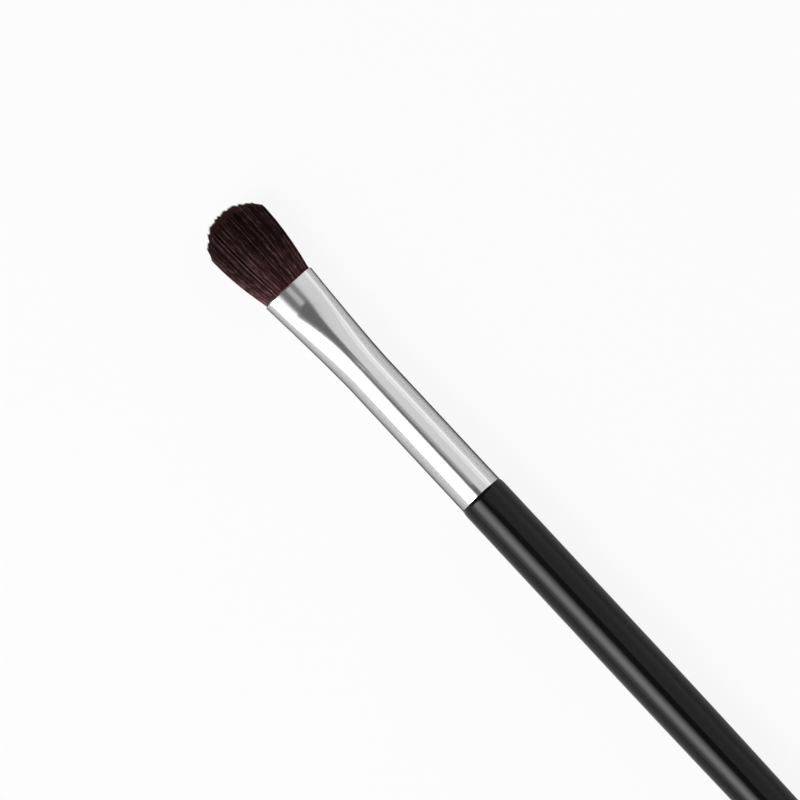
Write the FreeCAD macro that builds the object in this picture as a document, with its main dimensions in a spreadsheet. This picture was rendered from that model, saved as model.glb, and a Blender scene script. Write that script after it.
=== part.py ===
"""A flat eyeshadow brush: lacquered wooden handle, pressed metal ferrule and a splayed hair tuft.

The brush lies flat. +X runs along its axis from the tail to the tuft, +Z is up, out of the flat of the
tuft, and the origin is on the axis at the middle of the handle's parallel grip. Millimetres.
"""
import FreeCAD, Part
import os

import Sketcher

SIZES = {
    # Handle
    "handle_length": 115.0,
    "grip_length": 30.0,
    "grip_diameter": 7.32,
    "tail_diameter": 4.4,
    "shoulder_ease": 1.0,
    "coat_thickness": 0.2,
    "tenon_length": 14.0,
    "tenon_chamfer": 0.6,
    "glue_thickness": 0.1,
    # Ferrule
    "ferrule_length": 40.6,
    "ferrule_diameter": 7.0,
    "ferrule_wall": 0.3,
    "flare_length": 17.0,
    "mouth_width": 8.7,
    "mouth_thickness": 4.9,
    # Hair inside the ferrule
    "hair_depth": 16.0,
    "tied_length": 5.5,
    "resin_wall": 0.45,
    "resin_backing": 3.0,
    "thread_inset": 1.2,
    "thread_width": 1.8,
    "thread_thickness": 0.25,
    # Free hair
    "tuft_length": 14.4,
    "tuft_width": 11.1,
    "tuft_thickness": 5.9,
    "dome_height": 3.6,
    "side_radius": 62.0,
}

# The flare's sections are evenly spaced. Its width and thickness change as this power of the way along it.
FLARE_SECTIONS = 7
FLARE_POWER = 1.35

# Places along the axis, from the origin
SHOULDER = "(Sizes.grip_length / 2 + Sizes.shoulder_ease)"
TAIL = f"({SHOULDER} - Sizes.handle_length)"
MOUTH = f"({SHOULDER} + Sizes.ferrule_length)"
FLARE_START = f"({MOUTH} - Sizes.flare_length)"
ROOT_END = f"({MOUTH} - Sizes.hair_depth)"
RESIN_FRONT = f"({ROOT_END} + Sizes.tied_length)"
RESIN_BACK = f"({ROOT_END} - Sizes.resin_backing)"

# Radii that mating pieces share
FERRULE_RADIUS = "(Sizes.ferrule_diameter / 2)"
BORE_RADIUS = f"({FERRULE_RADIUS} - Sizes.ferrule_wall)"
TENON_RADIUS = f"({BORE_RADIUS} - Sizes.glue_thickness)"
GRIP_RADIUS = "(Sizes.grip_diameter / 2)"
CORE_RADIUS = f"({GRIP_RADIUS} - Sizes.coat_thickness)"
TAIL_RADIUS = "(Sizes.tail_diameter / 2)"
CORE_TAIL_RADIUS = f"({TAIL_RADIUS} - Sizes.coat_thickness)"

# The tied end stays clear of the bore's narrowest place on its stretch, at the front of the resin.
FRONT_ALONG = "(1 - (Sizes.hair_depth - Sizes.tied_length) / Sizes.flare_length)"
FRONT_SHARE = f"(max(0; {FRONT_ALONG}) ^ {FLARE_POWER})"
FRONT_BORE = f"({BORE_RADIUS} - ({FERRULE_RADIUS} - Sizes.mouth_thickness / 2) * {FRONT_SHARE})"
TIED_RADIUS = f"({FRONT_BORE} - Sizes.resin_wall)"
THREAD_RADIUS = f"({TIED_RADIUS} + Sizes.thread_thickness)"

# How the ends of an arc set its centre
ON_AXIS = "on the axis"
LEVEL_AT_START = "level at its first corner"
LEVEL_AT_END = "level at its last corner"

# Index numbers that a sketch gives to its axes, its origin and the ends and centre of a curve
X_AXIS_INDEX = -1
Y_AXIS_INDEX = -2
FIRST_END_INDEX = 1
SECOND_END_INDEX = 2
CENTRE_INDEX = 3
ORIGIN_INDICES = (X_AXIS_INDEX, FIRST_END_INDEX)

FULL_TURN = 360
ALONG_X = FreeCAD.Rotation(FreeCAD.Vector(0, 1, 0), 90)
FACING_X = FreeCAD.Rotation(FreeCAD.Vector(1, 1, 1), 120)

doc = FreeCAD.newDocument("eyeshadow_brush")
sheet = doc.addObject("Spreadsheet::Sheet", "Sizes")
for row, (alias, size) in enumerate(SIZES.items(), start=1):
    sheet.set(f"A{row}", alias)
    sheet.set(f"B{row}", str(size))
    sheet.setAlias(f"B{row}", alias)
doc.recompute()


def arc_centre(start, end, rule):
    """Where an arc from start to end has its centre, which the sketch then starts from."""
    if rule == ON_AXIS:
        across = end.x**2 + end.y**2 - start.x**2 - start.y**2
        return FreeCAD.Vector(across / (2 * (end.x - start.x)), 0, 0)
    if rule in (LEVEL_AT_START, LEVEL_AT_END):
        level, other = (start, end) if rule == LEVEL_AT_START else (end, start)
        height = ((other.x - level.x) ** 2 + other.y**2 - level.y**2) / (2 * (other.y - level.y))
        return FreeCAD.Vector(level.x, height, 0)
    radius = float(sheet.evalExpression(rule))
    chord = end - start
    towards_axis = FreeCAD.Vector(chord.y, -chord.x, 0).normalize()
    if towards_axis.y > 0:
        towards_axis = -towards_axis
    return (start + end) / 2 + towards_axis * (radius**2 - chord.Length**2 / 4) ** 0.5


def hold_point(sketch, curve, end, x, y):
    """Ties one end of a curve to a place given by two expressions, each "0" on an axis."""
    for kind, axis, place in (("DistanceX", Y_AXIS_INDEX, x), ("DistanceY", X_AXIS_INDEX, y)):
        if place == "0":
            sketch.addConstraint(Sketcher.Constraint("PointOnObject", curve, end, axis))
        else:
            now = float(sheet.evalExpression(place))
            held = sketch.addConstraint(Sketcher.Constraint(kind, *ORIGIN_INDICES, curve, end, now))
            sketch.setExpression(f"Constraints[{held}]", place)


def draw_outline(sketch, corners):
    """A closed outline. Each corner is its x, its y and the rule of the arc to the next, None for a line."""
    places = [
        FreeCAD.Vector(float(sheet.evalExpression(x)), float(sheet.evalExpression(y)), 0)
        for x, y, _ in corners
    ]
    curves = []
    for number, (x, y, rule) in enumerate(corners):
        start, end = places[number], places[(number + 1) % len(places)]
        if rule is None:
            curve = sketch.addGeometry(Part.LineSegment(start, end))
        else:
            centre = arc_centre(start, end, rule)
            outwards = ((start + end) / 2 - centre).normalize()
            middle = centre + outwards * (start - centre).Length
            curve = sketch.addGeometry(Part.Arc(start, middle, end))
        first, last = sorted(
            (FIRST_END_INDEX, SECOND_END_INDEX),
            key=lambda index: (sketch.getPoint(curve, index) - start).Length,
        )
        curves.append((curve, first, last))
        hold_point(sketch, curve, first, x, y)
        if rule == ON_AXIS:
            sketch.addConstraint(Sketcher.Constraint("PointOnObject", curve, CENTRE_INDEX, X_AXIS_INDEX))
        elif rule in (LEVEL_AT_START, LEVEL_AT_END):
            level = first if rule == LEVEL_AT_START else last
            sketch.addConstraint(Sketcher.Constraint("Vertical", curve, CENTRE_INDEX, curve, level))
        elif rule is not None:
            radius = float(sheet.evalExpression(rule))
            held = sketch.addConstraint(Sketcher.Constraint("Radius", curve, radius))
            sketch.setExpression(f"Constraints[{held}]", rule)
    for (curve, _, last), (following, first, _) in zip(curves, curves[1:] + curves[:1]):
        sketch.addConstraint(Sketcher.Constraint("Coincident", curve, last, following, first))


def turned_body(label, place, corners):
    """A body turned about the brush's axis from a half outline. Its own x starts at place."""
    body = doc.addObject("PartDesign::Body", label)
    body.setExpression("Placement.Base.x", place)
    sketch = body.newObject("Sketcher::SketchObject", f"{label}_outline")
    plane = next(f for f in body.Origin.OriginFeatures if f.Role == "XY_Plane")
    sketch.AttachmentSupport = [(plane, "")]
    sketch.MapMode = "FlatFace"
    draw_outline(sketch, corners)
    turned = body.newObject("PartDesign::Revolution", f"{label}_turned")
    turned.Profile = sketch
    turned.ReferenceAxis = (sketch, ["H_Axis"])
    turned.Angle = FULL_TURN
    return body


def rod(name, start, length, radius):
    """A plain cylinder along the brush's axis."""
    made = doc.addObject("Part::Cylinder", name)
    made.Placement = FreeCAD.Placement(FreeCAD.Vector(), ALONG_X)
    made.setExpression("Placement.Base.x", start)
    made.setExpression("Height", length)
    made.setExpression("Radius", radius)
    return made


def slab(name, start, end):
    """A block across the brush, wider and thicker than the ferrule, between two places along the axis."""
    made = doc.addObject("Part::Box", name)
    made.setExpression("Length", f"{end} - {start}")
    made.setExpression("Width", "2 * Sizes.mouth_width")
    made.setExpression("Height", "2 * Sizes.mouth_width")
    made.setExpression("Placement.Base.x", start)
    made.setExpression("Placement.Base.y", "-Sizes.mouth_width")
    made.setExpression("Placement.Base.z", "-Sizes.mouth_width")
    return made


def boolean(kind, name, base, tool):
    made = doc.addObject(kind, name)
    made.Base = base
    made.Tool = tool
    return made


def ferrule_form(name, inset):
    """The ferrule's outer form, or its bore where inset is the wall: a round barrel and a flare."""
    radius = f"({FERRULE_RADIUS} - {inset})"
    widening = f"(Sizes.mouth_width / 2 - {FERRULE_RADIUS})"
    flattening = f"({FERRULE_RADIUS} - Sizes.mouth_thickness / 2)"
    barrel = rod(f"{name}_barrel", SHOULDER, f"{FLARE_START} - {SHOULDER}", radius)
    sections = []
    for number in range(FLARE_SECTIONS):
        along = number / (FLARE_SECTIONS - 1)
        share = along**FLARE_POWER
        section = doc.addObject("Part::Ellipse", f"{name}_section_{number + 1}")
        section.Placement = FreeCAD.Placement(FreeCAD.Vector(), FACING_X)
        section.setExpression("Placement.Base.x", f"{FLARE_START} + Sizes.flare_length * {along}")
        section.setExpression("MajorRadius", f"{radius} + {widening} * {share}")
        section.setExpression("MinorRadius", f"{radius} - {flattening} * {share}")
        sections.append(section)
    flare = doc.addObject("Part::Loft", f"{name}_flare")
    flare.Sections = sections
    flare.Solid = True
    return boolean("Part::Fuse", name, barrel, flare)


# Handle: the coat's half outline goes round the outside and comes back along the core's.
grip_end = "(Sizes.handle_length - Sizes.shoulder_ease)"
grip_start = f"({grip_end} - Sizes.grip_length)"
core_shoulder = "(Sizes.handle_length - Sizes.coat_thickness)"
tenon_end = "(Sizes.handle_length + Sizes.tenon_length)"
handle_core = turned_body("handle_core", TAIL, [
    ("Sizes.coat_thickness", "0", ON_AXIS),
    (TAIL_RADIUS, CORE_TAIL_RADIUS, LEVEL_AT_END),
    (grip_start, CORE_RADIUS, None),
    (core_shoulder, CORE_RADIUS, None),
    (core_shoulder, TENON_RADIUS, None),
    (f"{tenon_end} - Sizes.tenon_chamfer", TENON_RADIUS, None),
    (tenon_end, f"{TENON_RADIUS} - Sizes.tenon_chamfer", None),
    (tenon_end, "0", None),
])
lacquer_coat = turned_body("lacquer_coat", TAIL, [
    ("0", "0", ON_AXIS),
    (TAIL_RADIUS, TAIL_RADIUS, LEVEL_AT_END),
    (grip_start, GRIP_RADIUS, None),
    (grip_end, GRIP_RADIUS, LEVEL_AT_START),
    ("Sizes.handle_length", FERRULE_RADIUS, None),
    ("Sizes.handle_length", TENON_RADIUS, None),
    (core_shoulder, TENON_RADIUS, None),
    (core_shoulder, CORE_RADIUS, None),
    (grip_start, CORE_RADIUS, LEVEL_AT_START),
    (TAIL_RADIUS, CORE_TAIL_RADIUS, ON_AXIS),
    ("Sizes.coat_thickness", "0", None),
])
glued_length = "(Sizes.tenon_length - Sizes.tenon_chamfer)"
tenon_glue = turned_body("tenon_glue", SHOULDER, [
    ("0", TENON_RADIUS, None),
    ("0", BORE_RADIUS, None),
    (glued_length, BORE_RADIUS, None),
    (glued_length, TENON_RADIUS, None),
])

# Ferrule: one tube, pressed flat and flared towards its mouth
ferrule_outside = ferrule_form("ferrule_outside", "0")
bore = ferrule_form("bore", "Sizes.ferrule_wall")
ferrule = boolean("Part::Cut", "ferrule", ferrule_outside, bore)

# Hair inside the ferrule: it fills the flattened mouth and narrows to its round tied end.
gripped_hair = boolean("Part::Common", "gripped_hair", bore, slab("gripped_stretch", RESIN_FRONT, MOUTH))
tied_hair = rod("tied_hair", ROOT_END, "Sizes.tied_length", TIED_RADIUS)
hair_root = boolean("Part::Fuse", "hair_root", gripped_hair, tied_hair)

# The thread is wound on the tied end, and the resin fills the bore round both and behind them.
thread_end = "(Sizes.thread_inset + Sizes.thread_width)"
binding_thread = turned_body("binding_thread", ROOT_END, [
    ("Sizes.thread_inset", TIED_RADIUS, None),
    ("Sizes.thread_inset", THREAD_RADIUS, None),
    (thread_end, THREAD_RADIUS, None),
    (thread_end, TIED_RADIUS, None),
])
filled_bore = boolean("Part::Common", "filled_bore", bore, slab("filled_stretch", RESIN_BACK, RESIN_FRONT))
tied_bundle = boolean("Part::Fuse", "tied_bundle", tied_hair, binding_thread)
epoxy_plug = boolean("Part::Cut", "epoxy_plug", filled_bore, tied_bundle)

# Free hair: the outline seen from above is turned about the axis and then flattened.
tuft_seen_from_above = turned_body("tuft_seen_from_above", "0", [
    ("0", "0", None),
    ("0", "Sizes.mouth_width / 2 - Sizes.ferrule_wall", "Sizes.side_radius"),
    ("Sizes.tuft_length - Sizes.dome_height", "Sizes.tuft_width / 2", ON_AXIS),
    ("Sizes.tuft_length", "0", None),
])
hair_tuft = doc.addObject("Part::Scale", "hair_tuft")
hair_tuft.Base = tuft_seen_from_above
hair_tuft.Uniform = False
hair_tuft.setExpression("ZScale", "Sizes.tuft_thickness / Sizes.tuft_width")
hair_tuft.setExpression("Placement.Base.x", MOUTH)

doc.recompute()

pieces = [
    handle_core,
    lacquer_coat,
    tenon_glue,
    ferrule,
    hair_root,
    binding_thread,
    epoxy_plug,
    hair_tuft,
]
for made in doc.Objects:
    if "Invalid" in made.State or "Error" in made.State:
        raise RuntimeError(f"{made.Label} failed: {made.State}")
for piece in pieces:
    shape = piece.Shape
    if shape.isNull() or not shape.isValid() or len(shape.Solids) != 1:
        raise RuntimeError(f"{piece.Label} is not one valid solid")

os.makedirs("parts", exist_ok=True)
for piece in pieces:
    piece.Shape.exportStep(f"parts/{piece.Label}.step")
    box = piece.Shape.optimalBoundingBox(False)
    print(
        f"{piece.Label}: {piece.Shape.Volume:.2f} mm3, x {box.XMin:.2f} to {box.XMax:.2f},"
        f" y {box.YMin:.2f} to {box.YMax:.2f}, z {box.ZMin:.2f} to {box.ZMax:.2f}"
    )
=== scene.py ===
"""The look of a flat eyeshadow brush: a lacquered handle, a pressed metal ferrule and a tuft of dark hair.

Metres, in the part's own frame: +X runs from the tail to the tuft, +Z is up out of the flat of the tuft, and
the origin is on the axis at the middle of the handle's grip.
"""

import math

import bpy
import numpy as np
from mathutils import Matrix, Vector


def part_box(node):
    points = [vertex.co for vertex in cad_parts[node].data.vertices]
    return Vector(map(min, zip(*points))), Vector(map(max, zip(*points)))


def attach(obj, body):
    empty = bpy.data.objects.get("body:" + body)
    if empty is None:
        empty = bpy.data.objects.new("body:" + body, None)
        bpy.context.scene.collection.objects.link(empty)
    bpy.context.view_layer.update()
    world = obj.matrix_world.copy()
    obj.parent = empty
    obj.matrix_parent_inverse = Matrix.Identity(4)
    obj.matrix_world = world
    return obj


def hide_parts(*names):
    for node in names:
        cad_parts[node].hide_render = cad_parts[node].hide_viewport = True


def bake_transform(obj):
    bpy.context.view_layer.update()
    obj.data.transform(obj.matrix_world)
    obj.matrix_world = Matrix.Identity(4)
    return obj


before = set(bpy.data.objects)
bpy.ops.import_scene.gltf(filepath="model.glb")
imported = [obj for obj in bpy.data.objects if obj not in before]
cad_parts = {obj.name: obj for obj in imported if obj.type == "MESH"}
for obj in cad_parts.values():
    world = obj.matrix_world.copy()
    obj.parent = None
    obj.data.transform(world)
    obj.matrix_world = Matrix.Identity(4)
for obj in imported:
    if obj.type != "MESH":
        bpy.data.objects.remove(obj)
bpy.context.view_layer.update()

MM = 0.001
SAME_PLACE = 1e-7

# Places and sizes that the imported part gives
coat_low, coat_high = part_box("lacquer_coat")
_, ferrule_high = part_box("ferrule")
root_low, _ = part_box("hair_root")
_, tuft_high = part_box("hair_tuft")
TAIL = coat_low.x
SHOULDER = coat_high.x
GRIP_RADIUS = coat_high.z
MOUTH = ferrule_high.x
MOUTH_HALF_WIDTH = ferrule_high.y
FERRULE_RADIUS = ferrule_high.z
ROOT_END = root_low.x
TUFT_LENGTH = tuft_high.x - MOUTH
TUFT_HALF_WIDTH = tuft_high.y
TUFT_HALF_THICKNESS = tuft_high.z
FLOOR_HEIGHT = coat_low.z

# Handle
SHOULDER_EASE = 1.0 * MM
GRIP_LENGTH = 30.0 * MM
TAIL_RADIUS = 2.2 * MM
COAT_THICKNESS = 0.2 * MM
TENON_RADIUS = 3.12 * MM
HANDLE_SIDES = 96
HANDLE_CREASE_ANGLE = 40
POLE_ANGLE = 3
DOME_STEPS = 10
TAPER_STEPS = 40
GRIP_STEPS = 10
EASE_STEPS = 8

# Ferrule
FERRULE_WALL = 0.3 * MM
FLARE_LENGTH = 17.0 * MM
FLARE_POWER = 1.35
FLAT_LENGTH = 3.8 * MM
PRESS_POWER = 1.7
CREASE_SOFTNESS = 0.05
MOUTH_HALF_THICKNESS = 2.45 * MM
CROWN_RADIUS = 12.9 * MM
RIM_BEVEL = 0.07 * MM
RIM_SEGMENTS = 3
RIM_ANGLE = 60
FERRULE_SIDES = 128
FERRULE_CREASE_ANGLE = 50
BARREL_STEPS = 12
FLARE_STEPS = 68

# One hair
HAIR_SEED = 20
HAIR_SIDES = 3
HAIR_RINGS = (0, 0.1, 0.25, 0.42, 0.6, 0.78, 0.94, 1)
HAIR_TAPER = 0.55
HAIR_TAPER_POWER = 3
HAIR_RADIUS = 0.06 * MM
TOP_HAIR_RADIUS = 0.045 * MM
ROOT_HAIR_RADIUS = 0.08 * MM
RADIUS_RANGE = (0.75, 1.2)
TONE_STEPS = 256
PALEST_TONE = 0.999
COLUMN_MARGIN = 0.1

# Strands of the tuft: a reach is 0 in the middle of its section and 1 on the outside, a tone is 0 when dark
INNER_STRANDS = 1100
INNER_STRAND_HAIRS = 4
INNER_REACH = 0.86
OUTER_STRANDS = 1150
OUTER_STRAND_HAIRS = 4
OUTER_REACH = 0.972
STRAND_SPREAD = 0.02
STRAND_TONE = 0.08
MASS_TONES = (0, 0.66)
# Finer hairs on the outside with paler tones: random hair tone whose pale part paints highlight streaks.
TOP_HAIRS = 560
TOP_REACH = (0.98, 1.0)
TOP_SPREAD = 0.004
TOP_TONES = (0.12, 0.86)
DRAWN_IN = 0.12
WAVES = (0.5, 1.4)
WEAVE = 0.003
WEAVE_START = 3.0 * MM
SWAY = 0.02 * MM

# Outline of the tuft: drops, depths and lengths at the tips are shares of the tuft's length
HAIR_START = -0.7 * MM
FULLNESS = 0.987
SPREAD_LENGTH = 11.0 * MM
SPREAD_POWER = 1.78
THICKEST_AT = 7.5 * MM
TIP_THINNING = 0.85
SIDE_DROP = 0.237
SIDE_POWER = 2.4
FACE_DROP = 0.06
FACE_POWER = 2.5
DOME_SKEW = 0.028
NOTCHES = 36
NOTCH_DEPTH = 0.022
SIDE_NOTCH_DEPTH = 0.045
TIP_LENGTH = 1.028
TIP_RAGGEDNESS = 0.010
STRAY_REACH = 0.018
STRAY_RARITY = 25

# Tied root of the hair
ROOT_HAIRS = 1400
ROOT_REACH = 0.97
ROOT_TONES = (0, 0.9)
TIED_RADIUS = 2.4 * MM
TIED_LENGTH = 5.5 * MM
ROOT_GAP = 0.45 * MM

# Studio: the camera's place, the lamps and the ground
LOOK_AT = Vector((0.0339, -0.00075, 0.0))
CAMERA_TILT = math.radians(5)
LENS = 200.0
SENSOR = 36.0
PICTURE_PIXELS = 800
PIXELS_PER_MM = 7.0
FIELD_WIDTH = PICTURE_PIXELS / PIXELS_PER_MM * MM
HANDLE_TURN = math.radians(47.058)
NEAREST_SEEN = 0.01
FARTHEST_SEEN = 20.0
KEY_LENGTH = 0.42
FLOOR_SIZE = 8.0
BACKGROUND_SHARE = 0.9
MIRRORED_SHARE = 0.1

# Nested key panels: inner and outer angle off the zenith, distance, radiance
KEY_PANELS = ((16, 79, 0.66, 1.3), (23, 67, 0.64, 2.5), (30, 60, 0.62, 2.2), (36.5, 53, 0.60, 2.0))

# Panels on the other side: inner and outer angle, distance, length, radiance
FAR_PANELS = {
    "fill": (-9, -52, 0.70, 0.6, 0.74),
    "side_strip": (-51, -74, 0.72, 0.6, 0.9),
}

# Small lamps overhead: angle across, angle along, distance, width, length, radiance
PATCHES = {
    "nose_patch": (1.3, 9.3, 0.60, 0.073, 0.028, 1.0),
    "barrel_patch": (-3.0, 4.0, 0.61, 0.12, 0.055, 0.42),
}


# Modelling


def pick(piece):
    """Makes the piece the one that operators act on."""
    bpy.ops.object.select_all(action="DESELECT")
    piece.select_set(True)
    bpy.context.view_layer.objects.active = piece


def apply_modifier(piece, kind, **settings):
    pick(piece)
    modifier = piece.modifiers.new(kind.lower(), kind)
    for setting, value in settings.items():
        setattr(modifier, setting, value)
    bpy.ops.object.modifier_apply(modifier=modifier.name)


def drawn_skin(name, stations, sides):
    """An open skin drawn ring by ring along the axis. Each station is its x and its radius."""
    bpy.ops.object.select_all(action="DESELECT")
    first_x, first_radius = stations[0]
    bpy.ops.mesh.primitive_circle_add(
        vertices=sides, radius=first_radius, location=(first_x, 0, 0), rotation=(0, math.pi / 2, 0)
    )
    skin = bpy.context.object
    skin.name = name
    skin.data.name = name
    bpy.ops.object.transform_apply(location=True, rotation=True, scale=True)
    bpy.ops.object.mode_set(mode="EDIT")
    for (x, radius), (next_x, next_radius) in zip(stations, stations[1:]):
        bpy.ops.mesh.extrude_region_move(TRANSFORM_OT_translate={"value": (next_x - x, 0, 0)})
        growth = next_radius / radius
        bpy.ops.transform.resize(value=(1, growth, growth), center_override=(next_x, 0, 0))
    bpy.ops.object.mode_set(mode="OBJECT")
    return skin


def close_end(piece, x):
    """Draws the ring at x together into one point on the axis."""
    pick(piece)
    bpy.ops.object.mode_set(mode="EDIT")
    bpy.ops.mesh.select_mode(type="VERT")
    bpy.ops.mesh.select_all(action="DESELECT")
    bpy.ops.object.mode_set(mode="OBJECT")
    for vertex in piece.data.vertices:
        vertex.select = abs(vertex.co.x - x) < SAME_PLACE
    bpy.ops.object.mode_set(mode="EDIT")
    bpy.ops.mesh.merge(type="CENTER")
    bpy.ops.object.mode_set(mode="OBJECT")


def point_faces_out(piece):
    pick(piece)
    bpy.ops.object.mode_set(mode="EDIT")
    bpy.ops.mesh.select_all(action="SELECT")
    bpy.ops.mesh.normals_make_consistent(inside=False)
    bpy.ops.object.mode_set(mode="OBJECT")


def shade_smooth(piece, angle):
    pick(piece)
    bpy.ops.object.shade_smooth_by_angle(angle=math.radians(angle))


def handle_stations():
    """The handle from tail to tenon: dome, slow taper, parallel grip, eased shoulder and butt face."""
    dome_end = TAIL + TAIL_RADIUS
    grip_end = SHOULDER - SHOULDER_EASE
    grip_start = grip_end - GRIP_LENGTH
    stations = []
    for step in range(DOME_STEPS):
        angle = math.radians(POLE_ANGLE + (90 - POLE_ANGLE) * step / DOME_STEPS)
        stations.append((dome_end - TAIL_RADIUS * math.cos(angle), TAIL_RADIUS * math.sin(angle)))
    for step in range(TAPER_STEPS):
        share = step / TAPER_STEPS
        radius = GRIP_RADIUS - (GRIP_RADIUS - TAIL_RADIUS) * (1 - share) ** 2
        stations.append((dome_end + (grip_start - dome_end) * share, radius))
    for step in range(GRIP_STEPS):
        stations.append((grip_start + GRIP_LENGTH * step / GRIP_STEPS, GRIP_RADIUS))
    drop = GRIP_RADIUS - FERRULE_RADIUS
    ease_radius = (SHOULDER_EASE**2 + drop**2) / (2 * drop)
    for step in range(EASE_STEPS + 1):
        along = SHOULDER_EASE * step / EASE_STEPS
        radius = GRIP_RADIUS - ease_radius + math.sqrt(ease_radius**2 - along**2)
        stations.append((grip_end + along, radius))
    stations.append((SHOULDER, TENON_RADIUS))
    return stations


def make_handle_skin():
    stations = handle_stations()
    skin = drawn_skin("handle_lacquer", stations, HANDLE_SIDES)
    pole_x, _ = stations[0]
    close_end(skin, pole_x)
    point_faces_out(skin)
    apply_modifier(skin, "SOLIDIFY", thickness=COAT_THICKNESS, offset=-1.0)
    shade_smooth(skin, HANDLE_CREASE_ANGLE)
    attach(skin, "handle")
    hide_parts("lacquer_coat")
    return skin


def oval_point(turn):
    """A quarter of the pressed mouth's outline, from its side at turn 0 to its crown at turn 1: two arcs."""
    side_radius = (
        2 * CROWN_RADIUS * MOUTH_HALF_THICKNESS - MOUTH_HALF_THICKNESS**2 - MOUTH_HALF_WIDTH**2
    ) / (2 * (CROWN_RADIUS - MOUTH_HALF_WIDTH))
    side_centre = MOUTH_HALF_WIDTH - side_radius
    crown_centre = MOUTH_HALF_THICKNESS - CROWN_RADIUS
    crown_angle = math.atan2(side_centre, -crown_centre)
    side_length = side_radius * (math.pi / 2 - crown_angle)
    crown_length = CROWN_RADIUS * crown_angle
    along = turn * (side_length + crown_length)
    if along < side_length:
        angle = along / side_radius
        return side_centre + side_radius * math.cos(angle), side_radius * math.sin(angle)
    angle = (side_length + crown_length - along) / CROWN_RADIUS
    return CROWN_RADIUS * math.sin(angle), crown_centre + CROWN_RADIUS * math.cos(angle)


def press_share(behind):
    """How far the tube is pressed behind the mouth: fully over the flat nose, with a soft crease."""
    pressed = max(0.0, (FLARE_LENGTH - behind) / (FLARE_LENGTH - FLAT_LENGTH)) ** PRESS_POWER
    return 0.5 * (pressed + 1 - math.sqrt((pressed - 1) ** 2 + CREASE_SOFTNESS**2))


def press_nose(tube):
    """Presses the front of a round tube into the flared oval mouth."""
    rest = press_share(FLARE_LENGTH)
    full = press_share(0)
    for vertex in tube.data.vertices:
        behind = MOUTH - vertex.co.x
        if behind >= FLARE_LENGTH:
            continue
        widened = ((FLARE_LENGTH - behind) / FLARE_LENGTH) ** FLARE_POWER
        pressed = (press_share(behind) - rest) / (full - rest)
        turn = math.atan2(abs(vertex.co.z), abs(vertex.co.y)) / (math.pi / 2)
        oval_y, oval_z = oval_point(turn)
        vertex.co.y += widened * (math.copysign(oval_y, vertex.co.y) - vertex.co.y)
        vertex.co.z += pressed * (math.copysign(oval_z, vertex.co.z) - vertex.co.z)


def make_ferrule_tube():
    flare_start = MOUTH - FLARE_LENGTH
    places = [SHOULDER + (flare_start - SHOULDER) * step / BARREL_STEPS for step in range(BARREL_STEPS)]
    places += [flare_start + FLARE_LENGTH * step / FLARE_STEPS for step in range(FLARE_STEPS + 1)]
    tube = drawn_skin("ferrule_tube", [(x, FERRULE_RADIUS) for x in places], FERRULE_SIDES)
    press_nose(tube)
    point_faces_out(tube)
    apply_modifier(tube, "SOLIDIFY", thickness=FERRULE_WALL, offset=-1.0)
    rim_angle = math.radians(RIM_ANGLE)
    apply_modifier(
        tube, "BEVEL", width=RIM_BEVEL, segments=RIM_SEGMENTS, limit_method="ANGLE", angle_limit=rim_angle
    )
    shade_smooth(tube, FERRULE_CREASE_ANGLE)
    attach(tube, "handle")
    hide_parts("ferrule")
    return tube


def model_one_hair():
    """One tapered hair of unit length and unit radius along the axis, which the bundles copy."""
    stations = [(share, 1 - HAIR_TAPER * share**HAIR_TAPER_POWER) for share in HAIR_RINGS]
    hair = drawn_skin("one_hair", stations, HAIR_SIDES)
    close_end(hair, 1.0)
    pick(hair)
    bpy.ops.object.mode_set(mode="EDIT")
    bpy.ops.mesh.select_all(action="SELECT")
    bpy.ops.mesh.fill_holes(sides=HAIR_SIDES)
    bpy.ops.object.mode_set(mode="OBJECT")
    point_faces_out(hair)
    points = np.array([vertex.co[:] for vertex in hair.data.vertices])
    faces = [tuple(face.vertices) for face in hair.data.polygons]
    bpy.data.objects.remove(hair)
    return points, faces


def on_disc(reach, angle):
    return np.stack([reach * np.cos(angle), reach * np.sin(angle)], axis=1)


def scattered(rng, count, least, most):
    """Places strewn over a unit disc, between two distances from its middle."""
    reach = np.sqrt(rng.uniform(least**2, most**2, count))
    angle = rng.uniform(0, 2 * math.pi, count)
    return on_disc(reach, angle)


def spaced(rng, count, least, most):
    """Places spaced evenly round a unit disc, between two distances from its middle."""
    angle = 2 * math.pi * (np.arange(count) + rng.uniform(0, 1, count)) / count
    reach = rng.uniform(least, most, count)
    return on_disc(reach, angle)


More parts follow.
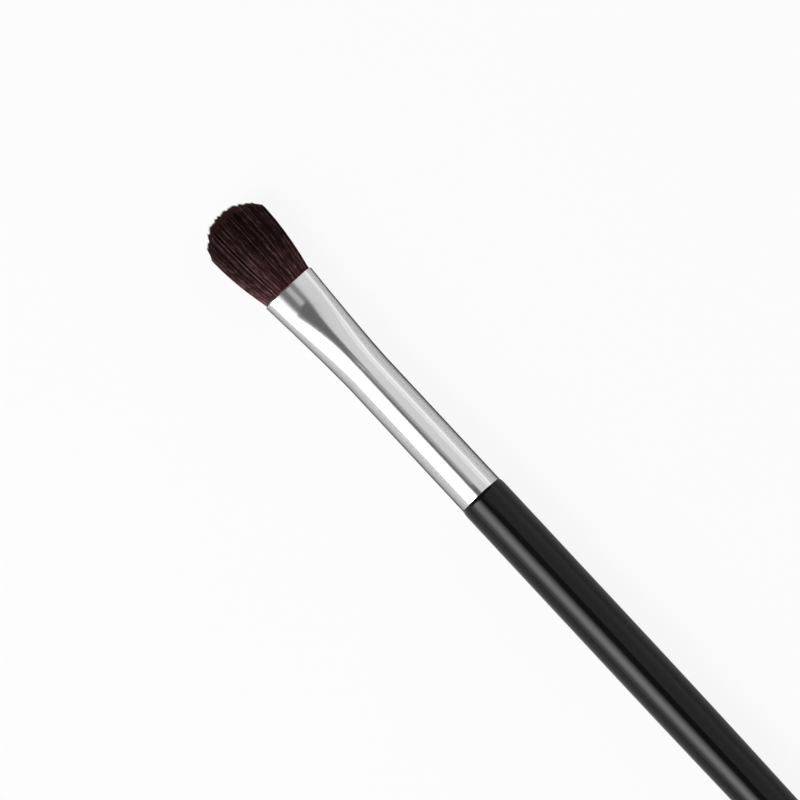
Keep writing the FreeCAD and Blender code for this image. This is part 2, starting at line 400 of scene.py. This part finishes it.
def stamp_hairs(name, hair, rng, paths, radii, tones):
    """Copies the one hair along each path, and keeps each hair's tone and its way along in a map."""
    points, faces = hair
    x, y, z = paths
    count = len(radii)
    turn = rng.uniform(0, 2 * math.pi, count)[:, None]
    across_y = (points[None, :, 1] * np.cos(turn) - points[None, :, 2] * np.sin(turn)) * radii[:, None]
    across_z = (points[None, :, 1] * np.sin(turn) + points[None, :, 2] * np.cos(turn)) * radii[:, None]
    placed = np.stack([x, y + across_y, z + across_z], axis=2)
    all_faces = [
        tuple(corner + number * len(points) for corner in face) for number in range(count) for face in faces
    ]
    mesh = bpy.data.meshes.new(name)
    mesh.from_pydata(placed.reshape(-1, 3).tolist(), [], all_faces)
    around = (points[:, 1] + 1) / 2
    step = np.floor(np.clip(tones, 0, PALEST_TONE) * TONE_STEPS)[:, None]
    column = (step + COLUMN_MARGIN + (1 - 2 * COLUMN_MARGIN) * around[None, :]) / TONE_STEPS
    along = np.broadcast_to(points[:, 0], column.shape)
    strand = np.stack([column, along], axis=2).reshape(-1, 2)
    corner_vertex = np.zeros(len(mesh.loops), dtype=np.int32)
    mesh.loops.foreach_get("vertex_index", corner_vertex)
    for map_name in ("strand", "OFBake"):
        layer = mesh.uv_layers.new(name=map_name)
        layer.data.foreach_set("uv", strand[corner_vertex].astype(np.float32).ravel())
    mesh.shade_smooth()
    bundle = bpy.data.objects.new(name, mesh)
    bpy.context.scene.collection.objects.link(bundle)
    return bundle


def hair_lengths(rng, sideways, facing, notches):
    """How far ahead of the mouth each hair ends: a dome with a notched fringe and a few stray tips."""
    count = len(sideways)
    length = FULLNESS * TUFT_LENGTH * (
        1 - SIDE_DROP * np.abs(sideways) ** SIDE_POWER - FACE_DROP * np.abs(facing) ** FACE_POWER
    )
    notch = np.interp(sideways, np.linspace(-1, 1, NOTCHES), notches)
    notch *= NOTCH_DEPTH + SIDE_NOTCH_DEPTH * np.clip(sideways, 0, 1)
    ragged = np.abs(rng.normal(0, TIP_RAGGEDNESS, count))
    length *= TIP_LENGTH - notch - DOME_SKEW * sideways**3 - ragged
    astray = rng.uniform(0, 1, count) ** STRAY_RARITY
    length *= 1 + STRAY_REACH * (1 + np.clip(2 * sideways, 0, 1)) * astray
    return length


def tuft_half_sizes(ahead):
    """The tuft's half width and half thickness at distances ahead of the mouth."""
    opened = 1 - (1 - np.clip(ahead / SPREAD_LENGTH, 0, 1)) ** SPREAD_POWER
    swollen = 1 - (1 - np.clip(ahead / THICKEST_AT, 0, 1)) ** SPREAD_POWER
    thinned = np.clip((ahead - THICKEST_AT) / (TUFT_LENGTH - THICKEST_AT), 0, 1)
    mouth_y = MOUTH_HALF_WIDTH - FERRULE_WALL
    mouth_z = MOUTH_HALF_THICKNESS - FERRULE_WALL
    half_width = mouth_y + (FULLNESS * TUFT_HALF_WIDTH - mouth_y) * opened - HAIR_RADIUS
    half_thickness = mouth_z + (TUFT_HALF_THICKNESS - mouth_z) * swollen - HAIR_RADIUS
    half_thickness *= np.sqrt(1 - (TIP_THINNING * thinned) ** 2)
    return half_width, half_thickness


def free_hairs(name, hair, rng, notches, centres, hairs_each, spread, radius, tones):
    """Strands from inside the mouth to the domed end. Each draws together and weaves in and out."""
    points, _ = hair
    along = points[:, 0]
    strand_count = len(centres)
    count = strand_count * hairs_each
    strand = np.repeat(np.arange(strand_count), hairs_each)
    strand_tone = rng.uniform(0, STRAND_TONE, strand_count)[strand]
    strand_waves = rng.uniform(*WAVES, strand_count)[strand]
    strand_phase = rng.uniform(0, 1, strand_count)[strand]
    strand_depth = rng.uniform(0, 2 * WEAVE, strand_count)[strand]
    offsets = rng.normal(0, spread, (count, 2))
    drawn = rng.uniform(0, DRAWN_IN, count)[:, None] * (1 - (1 - along[None, :]) ** 2)
    place = centres[strand][:, None, :] + offsets[:, None, :] * (1 - drawn)[:, :, None]
    place /= np.maximum(1, np.linalg.norm(place, axis=2, keepdims=True))
    tip = np.argmax(along)
    length = hair_lengths(rng, place[:, tip, 0], place[:, tip, 1], notches)
    ahead = HAIR_START + (length - HAIR_START)[:, None] * along[None, :]
    half_width, half_thickness = tuft_half_sizes(ahead)
    waves = strand_waves[:, None] * along[None, :] + strand_phase[:, None]
    weave = strand_depth[:, None] * np.sin(2 * math.pi * waves) * np.clip(ahead / WEAVE_START, 0, 1)
    sway = rng.normal(0, SWAY, count)[:, None] * np.sin(math.pi * along)[None, :] * (ahead > 0)
    y = place[:, :, 0] * half_width + sway
    z = place[:, :, 1] * half_thickness * (1 + weave)
    hair_tones = strand_tone + rng.uniform(*tones, count)
    radii = radius * rng.uniform(*RADIUS_RANGE, count)
    return stamp_hairs(name, hair, rng, (MOUTH + ahead, y, z), radii, hair_tones)


def make_tuft():
    """The free hair: inner strands, whose tips fill the dome, outer strands, and finer hairs on top."""
    rng = np.random.default_rng(HAIR_SEED)
    hair = model_one_hair()
    inner_centres = scattered(rng, INNER_STRANDS, 0, INNER_REACH)
    outer_centres = scattered(rng, OUTER_STRANDS, INNER_REACH, OUTER_REACH)
    notches = rng.uniform(-0.5, 0.5, NOTCHES)
    top_centres = spaced(rng, TOP_HAIRS, *TOP_REACH)
    bundles = [
        free_hairs(
            "tuft_inner_hairs", hair, rng, notches, inner_centres,
            hairs_each=INNER_STRAND_HAIRS, spread=STRAND_SPREAD, radius=HAIR_RADIUS, tones=MASS_TONES,
        ),
        free_hairs(
            "tuft_outer_hairs", hair, rng, notches, outer_centres,
            hairs_each=OUTER_STRAND_HAIRS, spread=STRAND_SPREAD, radius=HAIR_RADIUS, tones=MASS_TONES,
        ),
        free_hairs(
            "tuft_top_hairs", hair, rng, notches, top_centres,
            hairs_each=1, spread=TOP_SPREAD, radius=TOP_HAIR_RADIUS, tones=TOP_TONES,
        ),
    ]
    for bundle in bundles:
        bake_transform(bundle)
        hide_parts("hair_tuft")
    return bundles


def make_root():
    """The hair inside the ferrule: tied round at its end, and opening to fill the pressed mouth."""
    rng = np.random.default_rng(HAIR_SEED)
    hair = model_one_hair()
    points, _ = hair
    roots = scattered(rng, ROOT_HAIRS, 0, ROOT_REACH)
    tied_end = ROOT_END + TIED_LENGTH
    x = ROOT_END + (MOUTH - ROOT_GAP - ROOT_END) * points[:, 0]
    widened = np.clip((x - tied_end) / (MOUTH - tied_end), 0, 1)
    pressed = np.clip((x - tied_end) / (MOUTH - FLAT_LENGTH - tied_end), 0, 1)
    half_width = TIED_RADIUS + (MOUTH_HALF_WIDTH - FERRULE_WALL - TIED_RADIUS) * widened
    half_thickness = TIED_RADIUS + (MOUTH_HALF_THICKNESS - FERRULE_WALL - TIED_RADIUS) * pressed
    paths = (
        np.broadcast_to(x, (ROOT_HAIRS, len(x))),
        roots[:, :1] * (half_width - ROOT_HAIR_RADIUS),
        roots[:, 1:] * (half_thickness - ROOT_HAIR_RADIUS),
    )
    radii = np.full(ROOT_HAIRS, ROOT_HAIR_RADIUS)
    tones = rng.uniform(*ROOT_TONES, ROOT_HAIRS)
    bundle = stamp_hairs("root_hairs", hair, rng, paths, radii, tones)
    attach(bundle, "handle")
    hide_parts("hair_root")
    return bundle


# Finishes


class Value:
    """A number on a node's socket, for writing shader maths as expressions."""

    def __init__(self, tree, socket):
        self.tree = tree
        self.socket = socket

    def beside(self, output):
        """Another output of the same node."""
        return Value(self.tree, self.socket.node.outputs[output])

    def math(self, operation, first, second):
        node = self.tree.nodes.new("ShaderNodeMath")
        node.operation = operation
        for socket, value in zip(node.inputs, (first, second)):
            if isinstance(value, Value):
                self.tree.links.new(value.socket, socket)
            else:
                socket.default_value = value
        return Value(self.tree, node.outputs[0])

    def __add__(self, other):
        return self.math("ADD", self, other)

    __radd__ = __add__

    def __sub__(self, other):
        return self.math("SUBTRACT", self, other)

    def __rsub__(self, other):
        return self.math("SUBTRACT", other, self)

    def __mul__(self, other):
        return self.math("MULTIPLY", self, other)

    __rmul__ = __mul__


class Nodes:
    """A node tree and the one way of adding to it."""

    def __init__(self, tree):
        self.tree = tree

    def feed(self, node, values):
        for name, value in values.items():
            socket = node.inputs[name.replace("_", " ") if isinstance(name, str) else name]
            if isinstance(value, Value):
                self.tree.links.new(value.socket, socket)
            else:
                socket.default_value = value

    def node(self, kind, settings=None, values=None, output=0):
        """Adds a node, sets it up, feeds its sockets and returns one of its outputs."""
        node = self.tree.nodes.new(f"ShaderNode{kind}")
        for name, setting in (settings or {}).items():
            if name == "stops":
                ramp = node.color_ramp
                while len(ramp.elements) < len(setting):
                    ramp.elements.new(1.0)
                for element, (place, colour) in zip(ramp.elements, setting):
                    element.position = place
                    element.color = (*colour, 1)
            else:
                setattr(node, name, setting)
        self.feed(node, values or {})
        return Value(self.tree, node.outputs[output])

    def ramp(self, value, stops):
        return self.node("ValToRGB", {"stops": stops}, {"Fac": value})


class Finish(Nodes):
    """A material whose surface is one Principled shader."""

    def __init__(self, name, **constants):
        self.material = bpy.data.materials.new(name)
        self.material.use_nodes = True
        super().__init__(self.material.node_tree)
        self.shader = self.tree.nodes["Principled BSDF"]
        self.feed(self.shader, constants)

    def place(self, stretch=(1, 1, 1)):
        """Object coordinates, stretched."""
        own = self.node("TexCoord", output="Object")
        return self.node("Mapping", values={"Vector": own, "Scale": stretch})

    def noise(self, scale, detail, stretch=(1, 1, 1)):
        values = {"Vector": self.place(stretch), "Scale": scale, "Detail": detail}
        return self.node("TexNoise", values=values)

    def mix(self, share, first, second):
        return self.node("Mix", {"data_type": "RGBA"}, {0: share, 6: first, 7: second}, output=2)

    def bump(self, height, distance):
        return self.node("Bump", values={"Height": height, "Distance": distance, "Strength": 1.0})

    def wear(self, piece):
        piece.data.materials.clear()
        piece.data.materials.append(self.material)


def lacquer_finish():
    """Gloss black lacquer over wood: a faint ripple and rubbing marks along the handle."""
    finish = Finish("gloss_black_lacquer", Specular_IOR_Level=0.22)
    rubbed = finish.noise(scale=900, detail=4, stretch=(0.08, 1, 1))
    ripple = finish.noise(scale=260, detail=1, stretch=(0.35, 1, 1))
    finish.feed(finish.shader, {
        "Base Color": finish.ramp(rubbed, [(0.3, (0.0018, 0.0018, 0.002)), (0.75, (0.0038, 0.0038, 0.004))]),
        "Roughness": rubbed * 0.06 + 0.07,
        "Normal": finish.bump(ripple, 0.012 * MM),
    })
    return finish


def metal_finish():
    """Bright plated metal: drawn along its length, with fine hairlines and slight clouding."""
    finish = Finish("bright_plated_metal", Metallic=1.0, Specular_Tint=(0.08, 0.08, 0.08, 1))
    hairline = finish.noise(scale=2600, detail=3, stretch=(0.02, 1, 1))
    cloud = finish.noise(scale=140, detail=2, stretch=(0.3, 1, 1))
    finish.feed(finish.shader, {
        "Base Color": finish.ramp(cloud, [(0.3, (0.645, 0.645, 0.65)), (0.7, (0.69, 0.69, 0.69))]),
        "Roughness": hairline * 0.05 + cloud * 0.04 + 0.105,
        "Normal": finish.bump(hairline, 0.0012 * MM),
    })
    return finish


def hair_finish():
    """Fine dark hair: red-brown at the mouth, near black beyond, brown ends made paler as painted light."""
    finish = Finish("fine_dark_hair", Specular_IOR_Level=0.03)
    strand = finish.node("UVMap", {"uv_map": "strand"})
    tone = finish.node("SeparateXYZ", values={"Vector": strand})
    along = tone.beside(1)
    stretched = finish.node("Mapping", values={"Vector": strand, "Scale": (120, 10, 1)})
    # Hair tone differs at random from hair to hair, and noise breaks it along each hair. Its palest part
    # paints highlight streaks on the hairs.
    tone_and_painted_glints = tone + 1.2 * (finish.node("TexNoise", values={"Vector": stretched, "Scale": 1.0}) - 0.5)
    near_mouth = finish.ramp(tone_and_painted_glints, [
        (0.0, (0.008, 0.0023, 0.0023)),
        (0.45, (0.039, 0.0130, 0.0136)),
        (0.7, (0.085, 0.0310, 0.0325)),
        (0.92, (0.290, 0.155, 0.158)),
    ])
    near_tip = finish.ramp(tone_and_painted_glints, [
        (0.0, (0.0035, 0.0012, 0.0012)),
        (0.45, (0.0130, 0.0047, 0.0046)),
        (0.7, (0.0310, 0.0128, 0.0126)),
        (0.92, (0.170, 0.096, 0.094)),
    ])
    # Brown at the hair ends, made paler as painted light that lifts the tips out of the shade they cast on
    # each other.
    tip_brown_and_painted_light = finish.ramp(tone_and_painted_glints, [
        (0.0, (0.023, 0.0078, 0.0075)),
        (0.45, (0.084, 0.0300, 0.0288)),
        (0.7, (0.155, 0.0630, 0.0600)),
        (0.92, (0.360, 0.200, 0.195)),
    ])
    faded = finish.ramp(along, [(0.1, (0, 0, 0)), (0.3, (0.45, 0.45, 0.45)), (0.55, (1, 1, 1))])
    # Where along the hair the paler end colour, partly painted light, takes over.
    tip_share_and_painted_light = finish.ramp(along, [(0.94, (0, 0, 0)), (0.99, (1, 1, 1))])
    finish.feed(finish.shader, {
        "Base Color": finish.mix(tip_share_and_painted_light, finish.mix(faded, near_mouth, near_tip), tip_brown_and_painted_light),
        "Roughness": tone * 0.15 + 0.38,
    })
    return finish


def wood_finish():
    finish = Finish("bare_turned_wood", Roughness=0.65)
    grain = finish.noise(scale=700, detail=6, stretch=(0.05, 1, 1))
    finish.feed(finish.shader, {
        "Base Color": finish.ramp(grain, [(0.3, (0.52, 0.34, 0.19)), (0.7, (0.70, 0.52, 0.33))]),
        "Normal": finish.bump(grain, 0.02 * MM),
    })
    return finish


def glue_finish():
    finish = Finish("dried_glue_film", Roughness=0.45)
    film = finish.noise(scale=500, detail=4)
    finish.feed(finish.shader, {
        "Base Color": finish.ramp(film, [(0.3, (0.62, 0.50, 0.30)), (0.7, (0.78, 0.68, 0.48))]),
        "Normal": finish.bump(film, 0.02 * MM),
    })
    return finish


def resin_finish():
    finish = Finish("amber_resin", Roughness=0.2)
    cloud = finish.noise(scale=400, detail=4)
    finish.feed(finish.shader, {
        "Base Color": finish.ramp(cloud, [(0.3, (0.52, 0.36, 0.14)), (0.7, (0.72, 0.55, 0.28))]),
        "Normal": finish.bump(cloud, 0.01 * MM),
    })
    return finish


def thread_finish():
    finish = Finish("waxed_thread", Roughness=0.7)
    turns = finish.node(
        "TexWave",
        {"wave_type": "BANDS", "bands_direction": "X", "wave_profile": "SIN"},
        {"Vector": finish.place(), "Scale": 900.0, "Distortion": 0.6},
    )
    finish.feed(finish.shader, {
        "Base Color": finish.ramp(turns, [(0.1, (0.50, 0.46, 0.38)), (0.8, (0.80, 0.77, 0.70))]),
        "Normal": finish.bump(turns, 0.06 * MM),
    })
    return finish


# Studio


def make_camera():
    """A long lens nearly straight above, turned so that the handle leaves the picture at the lower right."""
    lens = bpy.data.cameras.new("camera")
    lens.lens = LENS
    lens.sensor_width = SENSOR
    lens.clip_start = NEAREST_SEEN
    lens.clip_end = FARTHEST_SEEN
    camera = bpy.data.objects.new("camera", lens)
    bpy.context.scene.collection.objects.link(camera)
    back = Vector((-math.sin(CAMERA_TILT), 0, math.cos(CAMERA_TILT)))
    to_tail = Vector((-math.cos(CAMERA_TILT), 0, -math.sin(CAMERA_TILT)))
    to_right = Vector((0, -1, 0))
    right = math.cos(HANDLE_TURN) * to_tail + math.sin(HANDLE_TURN) * to_right
    up = -math.sin(HANDLE_TURN) * to_tail + math.cos(HANDLE_TURN) * to_right
    distance = FIELD_WIDTH * LENS / SENSOR
    turned = Matrix((right, up, back)).transposed().to_4x4()
    camera.matrix_world = Matrix.Translation(LOOK_AT + back * distance) @ turned
    bpy.context.scene.camera = camera


def softbox(name, across, along, distance, width, length, radiance):
    """An area lamp at an angle off the zenith, across towards +Y and along towards +X, facing the brush."""
    direction = Vector((math.tan(math.radians(along)), math.tan(math.radians(across)), 1)).normalized()
    lamp = bpy.data.lights.new(name, "AREA")
    lamp.shape = "RECTANGLE"
    lamp.size = length
    lamp.size_y = width
    lamp.energy = radiance * math.pi * width * length
    box = bpy.data.objects.new(name, lamp)
    bpy.context.scene.collection.objects.link(box)
    level = Vector((1, 0, 0))
    level = (level - level.dot(direction) * direction).normalized()
    turned = Matrix((level, direction.cross(level), direction)).transposed().to_4x4()
    box.matrix_world = Matrix.Translation(LOOK_AT + direction * distance) @ turned
    box.visible_camera = False


def panel(name, inner, outer, distance, length, radiance):
    """A softbox that the brush sees between two angles off the zenith, towards +Y."""
    width = 2 * distance * math.tan(math.radians(abs(outer - inner) / 2))
    softbox(name, (inner + outer) / 2, 0, distance, width, length, radiance)


def make_lights():
    for inner, outer, distance, radiance in KEY_PANELS:
        panel(f"key_{inner}", inner, outer, distance, KEY_LENGTH, radiance)
    for name, angles_and_size in FAR_PANELS.items():
        panel(name, *angles_and_size)
    for name, angles_and_size in PATCHES.items():
        softbox(name, *angles_and_size)


def make_world():
    """A pale wall all round and a dim ceiling above it."""
    world = bpy.data.worlds.new("studio")
    bpy.context.scene.world = world
    world.use_nodes = True
    nodes = Nodes(world.node_tree)
    direction = nodes.node("TexCoord", output="Generated")
    height = nodes.node("SeparateXYZ", values={"Vector": direction}, output=2)
    nodes.feed(nodes.tree.nodes["Background"], {
        "Color": nodes.ramp(height, [(0.22, (0.85, 0.85, 0.85)), (0.45, (0.16, 0.16, 0.16))]),
        "Strength": 1.0,
    })


def make_floor():
    """A pale floor that keeps the brush's shadow, and that the camera sees as nearly white."""
    bpy.ops.object.select_all(action="DESELECT")
    bpy.ops.mesh.primitive_plane_add(size=FLOOR_SIZE, location=(LOOK_AT.x, 0, FLOOR_HEIGHT))
    floor = bpy.context.object
    floor.name = "floor"
    bpy.ops.object.transform_apply(location=True, rotation=True, scale=True)
    finish = Finish("pale_floor", Roughness=0.9, Specular_IOR_Level=0.0)
    grain = finish.noise(scale=40, detail=2)
    finish.feed(finish.shader, {
        "Base Color": finish.ramp(grain, [(0.2, (0.71, 0.71, 0.71)), (0.8, (0.73, 0.73, 0.73))]),
    })
    camera_ray = finish.node("LightPath", output="Is Camera Ray")
    mirrored = camera_ray.beside("Is Glossy Ray") + camera_ray.beside("Is Transmission Ray")
    white_share = camera_ray * BACKGROUND_SHARE + mirrored * MIRRORED_SHARE
    white = finish.node("Emission", values={"Color": (1, 1, 1, 1), "Strength": 1.0})
    lit = Value(finish.tree, finish.shader.outputs[0])
    mixed = finish.node("MixShader", values={0: white_share, 1: lit, 2: white})
    finish.tree.links.new(mixed.socket, finish.tree.nodes["Material Output"].inputs["Surface"])
    finish.wear(floor)


handle_skin = make_handle_skin()
ferrule_tube = make_ferrule_tube()
hair_bundles = [*make_tuft(), make_root()]

lacquer_finish().wear(handle_skin)
metal_finish().wear(ferrule_tube)
dark_hair = hair_finish()
for hair_bundle in hair_bundles:
    dark_hair.wear(hair_bundle)
wood_finish().wear(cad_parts["handle_core"])
glue_finish().wear(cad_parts["tenon_glue"])
resin_finish().wear(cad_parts["epoxy_plug"])
thread_finish().wear(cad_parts["binding_thread"])

make_floor()
make_lights()
make_world()
make_camera()
bpy.context.scene.view_settings.view_transform = "Standard"
